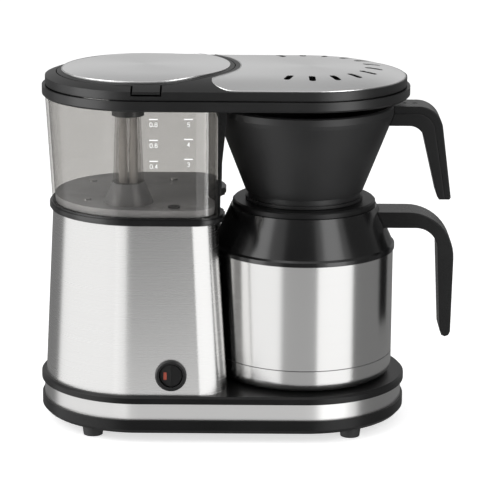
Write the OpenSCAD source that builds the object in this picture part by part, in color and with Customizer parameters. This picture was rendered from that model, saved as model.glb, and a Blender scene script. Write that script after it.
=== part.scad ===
// Drip coffee maker: a steel-clad heater tower with a clear reservoir on the left, a long
// head across the top, and a cone filter basket standing on an insulated carafe on the right.
// Millimetres, +Z up, +Y to the rear. The origin is under the middle of the whole outline.

/* [Base] */
// Length of the base deck, left to right
base_len = 288; // [286:0.2:292]
// Depth of the base deck, front to back
base_dep = 160.4; // [160:0.2:163]
// Height of the rubber feet
foot_h = 8.2; // [7:0.1:10]
// Height of the black base pan
pan_h = 10.8; // [10:0.1:12]
// Height of the steel trim band
band_h = 13.3; // [12:0.1:15]
// Height of the black deck rim
deck_h = 5.9; // [5.6:0.1:7]
// Distance of each foot from the base centre, along X
foot_x = 100; // [95:1:103]
// Distance of each foot from the base centre, along Y
foot_y = 55; // [50:1:56]

/* [Tower] */
// Height of the steel heater tower
tower_h = 132.1; // [128:0.1:136]
// Radius of the tower's round left end at the deck
tower_r = 76.3; // [75:0.1:77]
// Taper of the tower: top size over bottom size
tower_taper = 0.893; // [0.885:0.001:0.91]
// Distance from the round end's centre to the tower's right side, at the deck
tower_edge = 68.2; // [67:0.1:69]
// Radius of the tower's right-hand corners
tower_corner = 22; // [18:1:24]
// Radius of the concave bay that the carafe stands in
bay_r = 73.5; // [73:0.1:75]
// Thickness of the black bay panel
panel_t = 2.5; // [2:0.1:4]
// Height of the black collar between tower and reservoir
collar_h = 5.9; // [5:0.1:7]

/* [Switch] */
// Distance of the rocker switch from the base centre, along X
switch_x = -38.6; // [-50:0.1:-34]
// Height of the switch above the table
switch_z = 54; // [52:0.5:70]
// Outer radius of the switch bezel
bezel_r = 12.1; // [11.6:0.05:14]
// Radius of the rocker
rocker_r = 8.5; // [8:0.1:8.6]
// Tilt of the rocker to each side of flat
rocker_tilt = 6; // [4:0.5:7]

/* [Reservoir] */
// Height of the clear reservoir wall
tank_h = 83.1; // [80:0.1:88]
// Radius of the reservoir's round left end at the collar
tank_r = 69.7; // [69:0.1:70.4]
// Flare of the reservoir: top size over bottom size
tank_flare = 1.036; // [1.02:0.001:1.04]
// Thickness of the reservoir wall
tank_wall = 2.2; // [2:0.1:3]
// Distance of the hot-water riser from the base centre, along X
riser_x = -72; // [-76:0.5:-70]
// Distance of the hot-water riser from the middle plane, towards the front
riser_front = 38; // [36:0.5:40]

/* [Head] */
// Length of the head's lower tier
head_len = 285; // [284.6:0.1:286]
// Depth of the head's lower tier
head_dep = 158.6; // [158.2:0.1:160]
// Height of the lower tier
head_low_h = 7.9; // [7.6:0.1:8.4]
// Height of the upper tier at its edge
head_edge_h = 7.2; // [7:0.1:8]
// Rise of the domed top above that edge
crown_h = 7; // [6:0.1:8]
// Radius of the steel lid disc
lid_r = 65.2; // [63:0.1:66]
// Number of steam slots in the steel cover plate
slot_count = 12; // [8:1:14]

/* [Filter basket] */
// Outer radius of the basket's rim
basket_r = 69.8; // [69:0.1:70.4]
// Outer radius of the basket's narrow neck
basket_neck_r = 43.8; // [42:0.1:44.4]
// Width of the basket handle
basket_grip_w = 30; // [22:1:32]

/* [Carafe] */
// Distance of the carafe's axis from the base centre, along X
carafe_off = 63.3; // [63:0.1:64]
// Outer radius of the carafe's steel body
carafe_r = 70.5; // [69:0.1:70.6]
// Height of the seam above the carafe's bottom cap
carafe_seam_z = 56.5; // [54:0.5:60]
// Height of the shoulder's lower edge above the table
shoulder_z = 138.8; // [138:0.1:140]
// Radius of the carafe's lid
carafe_lid_r = 55.8; // [54:0.1:56]
// Width of the carafe handle
carafe_grip_w = 30; // [22:1:32]
// Distance from the carafe's axis to the outermost point of its handle
grip_reach = 117.2; // [116:0.1:119]

/* [Hidden] */
$fn = 96;
eps = 0.01;
gap = 0.3;

// The whole outline runs from the base's left end to the carafe handle.
body_x = (base_len / 2 - carafe_off - grip_reach) / 2;
base_r = base_dep / 2;
tower_x = body_x - base_len / 2 + base_r;
carafe_x = body_x + carafe_off;
head_r = head_dep / 2;
head_x = body_x + 2;

rx = body_x + riser_x;
ry = -riser_front;

// Levels above the table
pan_z = foot_h;
band_z = pan_z + pan_h;
deck_z = band_z + band_h;
floor_z = deck_z + deck_h;
collar_z = floor_z + tower_h;
tank_z = collar_z + collar_h;
head_z = tank_z + tank_h;
cover_z = head_z + head_low_h;
edge_z = cover_z + head_edge_h;
top_z = edge_z + crown_h;

pan_t = 2.5;
band_t = 1.2;
shell_t = 1;
tower_lean = atan(tower_r * (1 - tower_taper) / tower_h);

// Head and lid
cover_len = head_len - 5;
cover_r = head_r - 1.3;
lid_x = head_x - cover_len / 2 + cover_r;
groove_h = 0.8;
groove_in = 1.6;
cover_skin = 2.4;
crown_flat = 40;
crown_r = (pow(cover_r - crown_flat, 2) + pow(crown_h, 2)) / (2 * crown_h);
fill_r = 56;
lid_ring_r = lid_r + 3.6;
lid_hole_r = lid_ring_r + 0.7;
swing_in = 2.2;
lid_t = 3;
lid_skirt_z = cover_z + 2.3;
disc_t = 0.9;
hinge_y = 73.2;
hinge_z = edge_z - 1.6;
hinge_r = 2.6;
knuckle_len = 20;
pin_r = 1.4;
run_gap = 0.05;
tab_off = 3.6;
tab_w = 20.4;
notch_gap = 1.4;
tab_drop = 2;
plate_t = 0.6;
vent_x = body_x + 65.2;
vent_r = 51;
slot_l = 14;
slot_w = 5;
slot_spread = 110.5;
slot_turn = 2.8;

// Filter basket and carafe
ring_z = 177.3;
basket_z = ring_z + gap;
basket_top = head_z - 6.3;
cone_z = basket_z + 7.2;
rim_z = basket_top - 9;
cone_r1 = basket_neck_r + 2.2;
cone_r2 = basket_r - 0.9;
basket_t = 2.4;
carafe_z = floor_z + gap;
shoulder_top = ring_z - 4.9;
shoulder_r = carafe_r + 1;
neck_r = carafe_lid_r + 1.2;
liner_r = carafe_r - 7;
mouth_r = 36;

// Water path under the reservoir
heater_z = 70;
bend_r = 12;
leg_end = ry + bend_r;
outlet_x = body_x - 36.5;
outlet_y = -57;
hose_r = 5.5;
hose_bore = 3.6;

// ---------- shared shapes ----------

// Flat outline with two half-round ends.
module stadium_2d(half_len, r) {
  for (side = [-1, 1]) translate([side * (half_len - r), 0]) circle(r);
  square([2 * (half_len - r), 2 * r], center = true);
}

module stadium(half_len, r, h) {
  linear_extrude(h) stadium_2d(half_len, r);
}

// Stadium whose sides slope from r1 at the bottom to r2 at the top.
module sloped_stadium(half_len, r1, r2, h) {
  reach = half_len - r1;
  for (side = [-1, 1]) translate([side * reach, 0, 0]) cylinder(h = h, r1 = r1, r2 = r2);
  translate([-reach, 0, 0]) rotate([90, 0, 90])
    linear_extrude(2 * reach) polygon([[-r1, 0], [r1, 0], [r2, h], [-r2, h]]);
}

// Plan of the tower: round on the left, two rounded corners on the right.
module tower_2d(r, edge, corner) {
  circle(r);
  translate([0, -r]) square([edge - corner, 2 * r]);
  for (side = [-1, 1]) translate([edge - corner, side * (r - corner)]) circle(corner);
  translate([0, corner - r]) square([edge, 2 * (r - corner)]);
}

// Tapering solid on the tower's plan, drawn in by "inset" all round.
module tower_solid(inset) {
  pull_x = 10.7;
  translate([tower_x - pull_x, 0, floor_z]) linear_extrude(tower_h, scale = tower_taper)
    translate([pull_x, 0]) tower_2d(tower_r - inset, tower_edge - inset, tower_corner - inset);
}

// Flaring solid on the reservoir's plan; its right-hand side stays upright. "over" carries
// it on past the top at the same flare.
module tank_solid(inset, edge, over = 0) {
  h = tank_h + over;
  flare = 1 + (tank_flare - 1) * h / tank_h;
  translate([tower_x + edge, 0, tank_z]) linear_extrude(h, scale = flare)
    translate([-edge, 0]) tower_2d(tank_r - inset, edge - inset, tower_corner - 2 - inset);
}

// Upright cylinder on the carafe's axis.
module on_carafe(r, z, h) {
  translate([carafe_x, 0, z]) cylinder(r = r, h = h);
}

module tube(r_out, r_in, h) {
  difference() {
    cylinder(r = r_out, h = h);
    translate([0, 0, -1]) cylinder(r = r_in, h = h + 2);
  }
}

// Pan-head screw: head from z = 0 up to head_h, shank below.
module screw(head_r, head_h, shank_r, shank_l) {
  cylinder(r = head_r, h = head_h, $fn = 32);
  translate([0, 0, -shank_l]) cylinder(r = shank_r, h = shank_l, $fn = 32);
}

module at_feet() {
  for (sx = [-1, 1], sy = [-1, 1]) translate([body_x + sx * foot_x, sy * foot_y, 0]) children();
}

// ---------- base ----------

boss_r = 4.5;
screw_r = 1.5;
gland_x = tower_x + 10;
gland_z = band_z + band_h / 2;
gland_r = 4.6;

module base_pan() {
  chamfer = 3;
  color("#1c1c1c") difference() {
    union() {
      translate([body_x, 0, pan_z])
        sloped_stadium(base_len / 2 - chamfer, base_r - chamfer, base_r - 0.3, chamfer);
      translate([body_x, 0, pan_z + chamfer])
        stadium(base_len / 2 - 0.3, base_r - 0.3, pan_h - chamfer);
    }
    translate([body_x, 0, pan_z + pan_t])
      stadium(base_len / 2 - 3.8, base_r - 3.8, pan_h);
    at_feet() cylinder(r = screw_r + 0.3, h = 40, $fn = 32);
  }
}

module base_band() {
  inset = 2.2;
  color("#c8c8c6") difference() {
    translate([body_x, 0, band_z]) stadium(base_len / 2 - inset, base_r - inset, band_h);
    translate([body_x, 0, band_z - 1])
      stadium(base_len / 2 - inset - band_t, base_r - inset - band_t, band_h + 2);
    translate([gland_x, base_r - 8, gland_z]) rotate([-90, 0, 0])
      cylinder(r = gland_r + 0.1, h = 16, $fn = 48);
  }
}

module base_deck() {
  round_h = 1.6;
  skin = 3;
  color("#1f1f1f") difference() {
    union() {
      translate([body_x, 0, deck_z]) stadium(base_len / 2, base_r, deck_h - round_h);
      translate([body_x, 0, floor_z - round_h])
        sloped_stadium(base_len / 2, base_r, base_r - round_h, round_h);
      at_feet() translate([0, 0, pan_z + pan_t]) cylinder(r = boss_r, h = 24, $fn = 48);
    }
    translate([body_x, 0, deck_z - 1]) difference() {
      stadium(base_len / 2 - 4.5, base_r - 4.5, deck_h - skin + 1);
      translate([-body_x, 0, -deck_z]) at_feet() cylinder(r = boss_r, h = 60, $fn = 48);
    }
    translate([tower_x, 0, deck_z]) cylinder(r = 18, h = deck_h + 1);
    at_feet() translate([0, 0, pan_z]) cylinder(r = screw_r + 0.05, h = 20, $fn = 32);
  }
}

module feet() {
  color("#151515") at_feet() difference() {
    cylinder(r1 = 7.5, r2 = 8.5, h = foot_h);
    translate([0, 0, -1]) cylinder(r = 3.8, h = 5, $fn = 32);
    cylinder(r = screw_r + 0.3, h = foot_h + 1, $fn = 32);
  }
}

module base_screws() {
  color("#8a8a8a") at_feet() translate([0, 0, 4]) mirror([0, 0, 1]) screw(3.2, 2, screw_r, 20);
}

module cord_gland() {
  wall_y = base_r - 2.2;
  color("#141414") translate([gland_x, wall_y, gland_z]) rotate([-90, 0, 0]) difference() {
    union() {
      cylinder(r = 6, h = 2, $fn = 48);
      translate([0, 0, -7]) cylinder(r = gland_r, h = 7 + eps, $fn = 48);
      translate([0, 0, -7]) cylinder(r = 5.6, h = 5, $fn = 48);
    }
    translate([0, 0, -8]) cylinder(r = 3.5, h = 12, $fn = 48);
  }
}

// ---------- tower ----------

module bay_cut(extra = 0) {
  on_carafe(bay_r + extra, floor_z - 20, 300);
}

module tower_shell() {
  color("#cfcfcd") difference() {
    tower_solid(0);
    translate([0, 0, -1]) tower_solid(shell_t);
    translate([0, 0, 1]) tower_solid(shell_t);
    bay_cut(panel_t);
    at_switch() translate([0, 0, -12]) cylinder(r = barrel_r + 0.1, h = 20);
  }
}

module bay_panel() {
  color("#161616") difference() {
    intersection() {
      tower_solid(shell_t / 2);
      on_carafe(bay_r + panel_t, floor_z, tower_h);
    }
    bay_cut();
  }
}

module tower_collar() {
  round_h = 1.4;
  collar_r = tank_r + 2.2;
  collar_edge = 65.8;
  color("#181818") difference() {
    union() {
      for (k = [0, 1, 2])
        translate([tower_x, 0, collar_z + [0, round_h, collar_h - round_h][k]])
          linear_extrude([round_h, collar_h - 2 * round_h, round_h][k])
            tower_2d(collar_r - [1, 0, 1][k], collar_edge - [1, 0, 1][k], tower_corner);
    }
    translate([tower_x, 0, collar_z - 1]) linear_extrude(collar_h - 2)
      tower_2d(62, 56, tower_corner - 4);
    on_carafe(bay_r - 1, collar_z - 1, collar_h + 2);
    translate([rx, ry, collar_z]) cylinder(r = hose_r + 0.2, h = 20);
    translate([outlet_x, outlet_y, collar_z]) cylinder(r = hose_r + 0.2, h = 20);
  }
}

// ---------- switch ----------

barrel_r = 10.4;
barrel_in = 9.2;
barrel_d = 9;
switch_up = switch_z - floor_z;
switch_y = -tower_r * (1 - (1 - tower_taper) * switch_up / tower_h);

// Local +Z leaves the tower's sloping front face.
module at_switch() {
  translate([body_x + switch_x, switch_y, switch_z]) rotate([90 - tower_lean, 0, 0]) children();
}

module switch_bezel() {
  color("#202020") at_switch() difference() {
    union() {
      cylinder(r = bezel_r, h = 1.1);
      translate([0, 0, 1.1]) cylinder(r1 = bezel_r, r2 = bezel_r - 1.2, h = 0.9);
      translate([0, 0, -barrel_d]) cylinder(r = barrel_r, h = barrel_d + eps);
    }
    translate([0, 0, -barrel_d - 1]) cylinder(r = barrel_in, h = barrel_d + 4);
    translate([0, 0, -1]) rotate([90, 0, 0]) translate([0, 0, -9.9])
      cylinder(r = 1 + run_gap, h = 19.8, $fn = 32);
  }
}

module switch_rocker() {
  color("#232323") at_switch() translate([0, 0, -1]) rotate([0, -rocker_tilt, 0]) {
    difference() {
      translate([0, 0, -2]) cylinder(r = rocker_r, h = 4.2);
      for (side = [-1, 1]) rotate([0, side * 4, 0])
        translate([side * 10, 0, 3.7]) cube([20, 20, 4], center = true);
    }
    rotate([90, 0, 0]) translate([0, 0, -9.7]) cylinder(r = 1, h = 19.4, $fn = 32);
  }
}

module switch_housing() {
  color("#1a1a1a") at_switch() translate([0, 0, -barrel_d - 8]) linear_extrude(8)
    square([15, 17], center = true);
}

module switch_terminals() {
  color("#c9b060") at_switch() for (side = [-1, 1])
    translate([side * 3.5 - 0.4, -2.4, -barrel_d - 16]) cube([0.8, 4.8, 8]);
}

// ---------- reservoir ----------

tank_edge = 60.2;
tank_gap = 1.2;
floor_t = 5.6;
in_z = tank_z + floor_t;

module reservoir_tank() {
  color("#9a9894", 0.45) difference() {
    tank_solid(0, tank_edge);
    difference() {
      translate([0, 0, -eps]) tank_solid(tank_wall, tank_edge, 1);
      on_carafe(bay_r + tank_gap + tank_wall, tank_z - 5, tank_h + 10);
    }
    on_carafe(bay_r + tank_gap, tank_z - 5, tank_h + 10);
  }
}

module reservoir_floor() {
  color("#6e6e6e") difference() {
    translate([tower_x, 0, tank_z]) linear_extrude(floor_t)
      tower_2d(tank_r - tank_wall - 0.1, tank_edge - tank_wall - 0.1, tower_corner - 4);
    translate([tower_x, 0, tank_z - 1]) linear_extrude(floor_t - 1.6)
      tower_2d(tank_r - tank_wall - 10, 26, tower_corner - 6);
    on_carafe(bay_r + tank_gap + tank_wall + 0.1, tank_z - 5, 20);
    translate([rx, ry, tank_z - 1]) cylinder(r = hose_r + 0.2, h = 10);
    translate([outlet_x, outlet_y, tank_z - 1]) cylinder(r = hose_bore, h = 10);
    at_floor_screws() cylinder(r = 1.2, h = 10, center = true, $fn = 32);
  }
}

module at_floor_screws() {
  for (p = [[-40, 39], [-104, 32], [-104, -32]])
    translate([body_x + p.x, p.y, in_z]) children();
}

module floor_screws() {
  color("#2a2a2a") at_floor_screws() screw(3, 1.2, 1.2, 2.4);
}

module outlet_strainer() {
  color("#2c2c2c") translate([outlet_x, outlet_y, in_z]) difference() {
    cylinder(r = 4.6, h = 1.2, $fn = 48);
    for (a = [0 : 60 : 300]) rotate(a) translate([2.6, 0, -1]) cylinder(r = 0.8, h = 4, $fn = 24);
    translate([0, 0, -1]) cylinder(r = 0.8, h = 4, $fn = 24);
  }
}

riser_low = in_z;
riser_mid = riser_low + 16;
riser_top = head_z - 9.8;

module riser_base() {
  color("#77777a", 0.7) translate([rx, ry, riser_low]) difference() {
    cylinder(r1 = 19, r2 = 12.6, h = riser_mid - riser_low);
    translate([0, 0, -1]) cylinder(r = 8.6, h = 40);
  }
}

module riser_tube() {
  color("#a8a6a2", 0.5) translate([rx, ry, riser_mid]) difference() {
    cylinder(r1 = 11.7, r2 = 9.7, h = riser_top - riser_mid);
    translate([0, 0, -eps]) cylinder(r1 = 10.1, r2 = 8.2, h = riser_top - riser_mid + 2 * eps);
  }
}

module riser_inner_tubes() {
  step_z = riser_mid + 34;
  color("#b8b2aa") translate([rx, ry, 0]) for (side = [-1, 1]) translate([side * 4, 0, 0]) {
    translate([0, 0, riser_low]) tube(3.3, 2, step_z - riser_low);
    translate([0, 0, step_z]) tube(2.7, 2, riser_top - step_z);
  }
}

module riser_cap() {
  color("#262626") translate([rx, ry, riser_top]) difference() {
    cylinder(r = 12.4, h = head_z - riser_top);
    for (side = [-1, 1]) translate([side * 4, 0, -1]) cylinder(r = 2, h = 12, $fn = 32);
  }
}

// Two pillars that flank the bay and carry the head. They lean out as they rise.
module head_posts() {
  post_w = 9.4;
  back = tank_edge + 0.1;
  profile = [[back, tank_z], [62.1, tank_z], [62.6, tank_z + 28],
    [66.6, head_z - 16], [67, head_z], [back, head_z]];
  color("#161616") difference() {
    for (y = [-46, 46 - post_w]) translate([tower_x, y + post_w, 0]) rotate([90, 0, 0])
      linear_extrude(post_w) polygon(profile);
    bay_cut(0.4);
  }
}

// ---------- head ----------

module head_outline(h, inset = 0) {
  translate([head_x, 0, 0]) stadium(head_len / 2 - inset, head_r - inset, h);
}

module cover_outline(h, inset = 0) {
  translate([head_x, 0, 0]) stadium(cover_len / 2 - inset, cover_r - inset, h);
}

// Half profile of the domed top: flat in the middle, rolling down to the edge.
module crown_2d(inset) {
  reach = cover_r - inset;
  square([crown_flat, top_z - cover_z - groove_h]);
  intersection() {
    translate([crown_flat, top_z - cover_z - groove_h - crown_r]) circle(crown_r, $fn = 720);
    translate([crown_flat, 0]) square([reach - crown_flat, 40]);
  }
}

// The upper tier as one solid: the half profile carried round the stadium.
module crown(inset = 0) {
  half = cover_len / 2 - cover_r;
  translate([head_x, 0, cover_z + groove_h]) {
    translate([half, 0, 0]) rotate([0, 0, -90]) rotate_extrude(angle = 180) crown_2d(inset);
    translate([-half, 0, 0]) rotate([0, 0, 90]) rotate_extrude(angle = 180) crown_2d(inset);
    for (side = [0, 1]) mirror([0, side, 0]) translate([-half, 0, 0]) rotate([90, 0, 90])
      linear_extrude(2 * half) crown_2d(inset);
  }
}

module at_head_screws() {
  for (p = [[-133.8, 0], [40, 64], [40, -64], [135, 0]])
    translate([body_x + p.x, p.y, head_z]) children();
}

module head_frame() {
  chamfer = 1.4;
  wall = 2.6;
  floor_h = 2;
  color("#1d1d1d") difference() {
    union() {
      translate([head_x, 0, head_z])
        sloped_stadium(head_len / 2 - chamfer, head_r - chamfer, head_r, chamfer);
      translate([0, 0, head_z + chamfer]) head_outline(head_low_h - chamfer);
    }
    difference() {
      translate([0, 0, head_z + floor_h]) head_outline(head_low_h, wall);
      at_head_screws() cylinder(r = 4, h = head_low_h, $fn = 48);
    }
    difference() {
      translate([lid_x, 0, head_z - 1]) cylinder(r = fill_r, h = 10);
      translate([rx, ry, head_z - 2]) cylinder(r = 14, h = 12);
      translate([rx - 14, -head_r, head_z - 2]) cube([28, head_r + ry, 12]);
    }
    for (side = [-1, 1])
      translate([rx + side * 4, ry, head_z - 1]) cylinder(r = 2, h = 6, $fn = 32);
    on_carafe(27, head_z - 1, 10);
    at_head_screws() translate([0, 0, -1]) cylinder(r = screw_r + 0.1, h = 20, $fn = 32);
    at_head_screws() translate([0, 0, -1]) cylinder(r = 3.2, h = 3, $fn = 32);
  }
}

module hinge_bore(r, len) {
  translate([lid_x - len / 2, hinge_y, hinge_z]) rotate([0, 90, 0])
    cylinder(r = r, h = len, $fn = 32);
}

// Finger notch and tab at the lid's front, "slack" wider than the tab on each side.
module tab_block(slack) {
  deep = cover_r - 60;
  translate([lid_x + tab_off - tab_w / 2 - slack, -cover_r - 1, edge_z - tab_drop - slack])
    cube([tab_w + 2 * slack, deep, 20]);
}

module head_cover() {
  ear_w = 9;
  color("#1f1f1f") difference() {
    union() {
      translate([0, 0, cover_z]) cover_outline(groove_h, groove_in);
      crown();
    }
    difference() {
      translate([0, 0, cover_z - 1]) cover_outline(head_edge_h - 1, 3.4);
      translate([lid_x, 0, cover_z - 2]) cylinder(r = lid_hole_r + 2, h = 20);
      for (side = [-1, 1])
        translate([lid_x + side * (knuckle_len / 2 + 0.4 + ear_w / 2), hinge_y, cover_z + 3])
          cube([ear_w, 8, 14], center = true);
      at_head_screws() translate([0, 0, head_low_h - 2]) cylinder(r = 4, h = 20, $fn = 48);
      tab_block(notch_gap + 1.6);
    }
    difference() {
      translate([vent_x, 0, cover_z - 1]) cylinder(r = vent_r + slot_l / 2 + 1, h = 20);
      translate([lid_x, 0, cover_z - 2]) cylinder(r = lid_hole_r + 5, h = 22);
    }
    translate([lid_x, 0, cover_z - 1]) cylinder(r = lid_hole_r, h = 20);
    translate([lid_x - knuckle_len / 2 - 0.4, 60, cover_z - 1])
      cube([knuckle_len + 0.8, hinge_y - 57, 20]);
    hinge_bore(pin_r + run_gap, 36);
    tab_block(notch_gap);
    brew_plate_solid();
    at_head_screws() translate([0, 0, -1]) cylinder(r = screw_r, h = head_low_h + 5, $fn = 32);
  }
}

module plate_2d() {
  plate_r = cover_r - 1;
  right_x = head_x + cover_len / 2 - cover_r;
  horn_r = 20;
  horn_x = body_x + 12;
  difference() {
    union() {
      translate([right_x, 0]) circle(plate_r);
      translate([horn_x, -plate_r]) square([right_x - horn_x, 2 * plate_r]);
      for (side = [-1, 1]) translate([horn_x, side * (plate_r - horn_r)]) circle(horn_r);
      translate([horn_x - horn_r, horn_r - plate_r]) square([horn_r, 2 * (plate_r - horn_r)]);
    }
    translate([lid_x, 0]) circle(lid_hole_r + 3.8);
  }
}

module slot_2d() {
  for (side = [-1, 1]) translate([side * (slot_l - slot_w) / 2, 0]) circle(d = slot_w, $fn = 24);
  square([slot_l - slot_w, slot_w], center = true);
}

module brew_plate_solid() {
  difference() {
    intersection() {
      crown();
      translate([0, 0, cover_z]) linear_extrude(30) plate_2d();
    }
    translate([0, 0, -plate_t]) crown();
  }
}

module brew_plate() {
  color("#c4c4c4") difference() {
    brew_plate_solid();
    for (k = [0 : slot_count - 1])
      translate([vent_x, 0, edge_z])
        rotate(slot_turn - slot_spread + 2 * slot_spread * k / (slot_count - 1))
          translate([vent_r, 0]) linear_extrude(20) slot_2d();
  }
}

// Room behind the lid's rear edge, so that it swings up past the cover.
module swing_recess() {
  intersection() {
    translate([0, 0, -0.9]) crown();
    translate([lid_x, 0, lid_skirt_z - 1]) tube(lid_ring_r + 1, lid_ring_r - swing_in, 30);
    for (side = [-1, 1])
      translate([lid_x + side * (40 + knuckle_len / 2), 40, cover_z]) cube([80, 80, 60], center = true);
  }
}

module lid_ring() {
  strap_z = hinge_z - 1.4;
  color("#1b1b1b") difference() {
    union() {
      intersection() {
        crown();
        translate([lid_x, 0, lid_skirt_z]) cylinder(r = lid_ring_r, h = 30);
      }
      translate([lid_x - knuckle_len / 2, 62, strap_z])
        cube([knuckle_len, hinge_y - 62, 3.6]);
      hinge_bore(hinge_r, knuckle_len);
    }
    intersection() {
      translate([0, 0, -lid_t]) crown();
      translate([lid_x, 0, cover_z - 5]) cylinder(r = lid_ring_r - swing_in - 2.4, h = 40);
    }
    swing_recess();
    hinge_bore(pin_r, knuckle_len + 2);
  }
}

module lid_disc() {
  color("#c9c9c9") difference() {
    intersection() {
      translate([0, 0, disc_t]) crown();
      translate([lid_x, 0, cover_z]) cylinder(r = lid_r, h = 30);
    }
    crown();
  }
}

module lid_tab() {
  color("#202020") difference() {
    intersection() {
      crown();
      tab_block(0);
    }
    translate([lid_x, 0, cover_z]) cylinder(r = lid_ring_r, h = 30);
  }
}

module lid_hinge_pin() {
  color("#9c9c9c") hinge_bore(pin_r, 35);
}

// Flat plan of the duct: riser, front run, then across to the shower.
module duct_2d(w) {
  run_y = -66;
  turn_x = body_x + 20;
  translate([rx, ry]) circle(w + 4);
  translate([rx - w, run_y - w]) square([2 * w, ry - run_y + w]);
  translate([rx - w, run_y - w]) square([turn_x - rx + 2 * w, 2 * w]);
  translate([turn_x - w, run_y]) square([2 * w, -run_y]);
  translate([turn_x, -w]) square([carafe_x - turn_x, 2 * w]);
  translate([carafe_x, 0]) circle(w + 14);
}

module water_duct() {
  duct_z = head_z + 2;
  color("#5a5a5a", 0.8) difference() {
    translate([0, 0, duct_z]) linear_extrude(5) duct_2d(6);
    translate([0, 0, duct_z + 1.2]) linear_extrude(2.6) duct_2d(4.6);
    for (side = [-1, 1])
      translate([rx + side * 4, ry, duct_z - 1]) cylinder(r = 2, h = 3, $fn = 32);
    on_carafe(12, duct_z - 1, 3);
  }
}

module shower_head() {
  low = head_z - 5;
  color("#303030") difference() {
    union() {
      on_carafe(34, low, 5);
      on_carafe(26.8, head_z - eps, 2);
    }
    on_carafe(24, low + 1.4, 10);
    for (n = [[0, 1], [9, 6], [18, 12]], k = [0 : n[1] - 1])
      translate([carafe_x, 0, low - 1]) rotate(360 * k / n[1])
        translate([n[0], 0, 0]) cylinder(r = 1.1, h = 4, $fn = 24);
  }
}

module head_screws() {
  color("#8a8a8a") at_head_screws() translate([0, 0, 2]) mirror([0, 0, 1])
    screw(3, 1.6, screw_r, head_low_h + 1.6);
}

// ---------- filter basket ----------

// Points of a bent grip edge: level run at z_top, an arc, then a leg to the tip, which
// leans out by "lean" degrees on its way down. X is measured from the carafe's axis.
function bend(x0, z_top, r, lean, tip) =
  let (
    n = [cos(lean), sin(lean)],
    c = [(n * tip - n.y * (z_top - r) - r) / n.x, z_top - r],
    steps = 14
  )
  concat([[x0, z_top]],
    [for (k = [0 : steps]) let (a = 90 + (lean - 90) * k / steps) c + r * [cos(a), sin(a)]],
    [tip]);

function reversed(list) = [for (k = [len(list) - 1 : -1 : 0]) list[k]];

module grip(points, w) {
  translate([carafe_x, w / 2, 0]) rotate([90, 0, 0]) linear_extrude(w) polygon(points);
}

module basket_body(extra = 0) {
  translate([carafe_x, 0, 0]) {
    translate([0, 0, basket_z]) cylinder(r = basket_neck_r + 2 + extra, h = 2.4);
    translate([0, 0, basket_z + 2.4]) cylinder(r = basket_neck_r + extra, h = cone_z - basket_z - 2.4);
    translate([0, 0, cone_z]) cylinder(r1 = cone_r1 + extra, r2 = cone_r2 + extra, h = rim_z - cone_z);
    translate([0, 0, rim_z]) cylinder(r1 = cone_r2 + extra, r2 = basket_r + extra, h = 3);
    translate([0, 0, rim_z + 3]) cylinder(r = basket_r + extra, h = basket_top - rim_z - 4);
    translate([0, 0, basket_top - 1]) cylinder(r1 = basket_r + extra, r2 = basket_r - 1 + extra, h = 1);
  }
}

module filter_basket() {
  well_z = cone_z + 3;
  color("#191919") difference() {
    basket_body();
    translate([carafe_x, 0, well_z])
      cylinder(r1 = cone_r1 - basket_t, r2 = cone_r2 - basket_t, h = rim_z - well_z);
    on_carafe(cone_r2 - basket_t, rim_z - eps, 20);
    on_carafe(basket_neck_r - 2.4, basket_z - 1, cone_z - basket_z);
    for (n = [[0, 1], [10, 6], [20, 10]], k = [0 : n[1] - 1])
      translate([carafe_x, 0, cone_z - 3]) rotate(360 * k / n[1])
        translate([n[0], 0, 0]) cylinder(r = 2, h = 8, $fn = 24);
  }
}

basket_grip_top = bend(60, basket_top - 0.4, 19, 7.6, [113.7, 181]);
basket_grip_seam = bend(60, basket_top - 6, 15, 9.4, [109.4, 179.4]);
basket_grip_low = bend(60, basket_top - 15.6, 12, 13.4, [102.9, 182]);

module basket_handle_outer() {
  color("#1e1e1e") difference() {
    grip(concat(basket_grip_top, [[112.6, 179.4]], reversed(basket_grip_seam)), basket_grip_w);
    basket_body();
    basket_screw_axis() cylinder(r = 1.5, h = 20, $fn = 32);
  }
}

module basket_handle_inner() {
  color("#1a1a1a") difference() {
    grip(concat(basket_grip_seam, [[104.6, 179.4]], reversed(basket_grip_low)), basket_grip_w);
    basket_body();
    basket_screw_axis() translate([0, 0, -30]) cylinder(r = 1.5, h = 60, $fn = 32);
    basket_screw_axis() translate([0, 0, -20]) cylinder(r = 3.2, h = 14, $fn = 32);
  }
}

// Two screws run up through the inner shell into the outer one.
module basket_screw_axis() {
  for (x = [77, 85]) translate([carafe_x + x, 0, basket_top - 7.8]) children();
}

module basket_handle_screws() {
  color("#8a8a8a") basket_screw_axis() translate([0, 0, -6]) mirror([0, 0, 1]) {
    cylinder(r = 3, h = 2, $fn = 32);
    translate([0, 0, -10]) cylinder(r = 1.45, h = 10, $fn = 32);
  }
}

// ---------- carafe ----------

module carafe_body() {
  color("#d2d2d0") translate([carafe_x, 0, carafe_seam_z]) difference() {
    cylinder(r = carafe_r, h = shoulder_z - carafe_seam_z + 2.4);
    translate([0, 0, -1]) cylinder(r = carafe_r - 0.8, h = shoulder_z);
  }
}

module carafe_base_cap() {
  bow = 8;
  t = 0.8;
  color("#cbcbc9") translate([carafe_x, 0, carafe_z]) rotate_extrude() difference() {
    union() {
      square([carafe_r - bow, bow]);
      translate([0, bow]) square([carafe_r, carafe_seam_z - carafe_z - bow]);
      translate([carafe_r - bow, bow]) intersection() {
        circle(bow);
        translate([0, -bow]) square(bow);
      }
    }
    translate([0, t]) square([carafe_r - bow, bow]);
    translate([0, bow]) square([carafe_r - t, 40]);
    translate([carafe_r - 0.4, carafe_seam_z - carafe_z - 0.8]) square(2);
    translate([carafe_r - bow, bow]) intersection() {
      circle(bow - t);
      translate([0, -bow]) square(bow);
    }
  }
}

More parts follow.
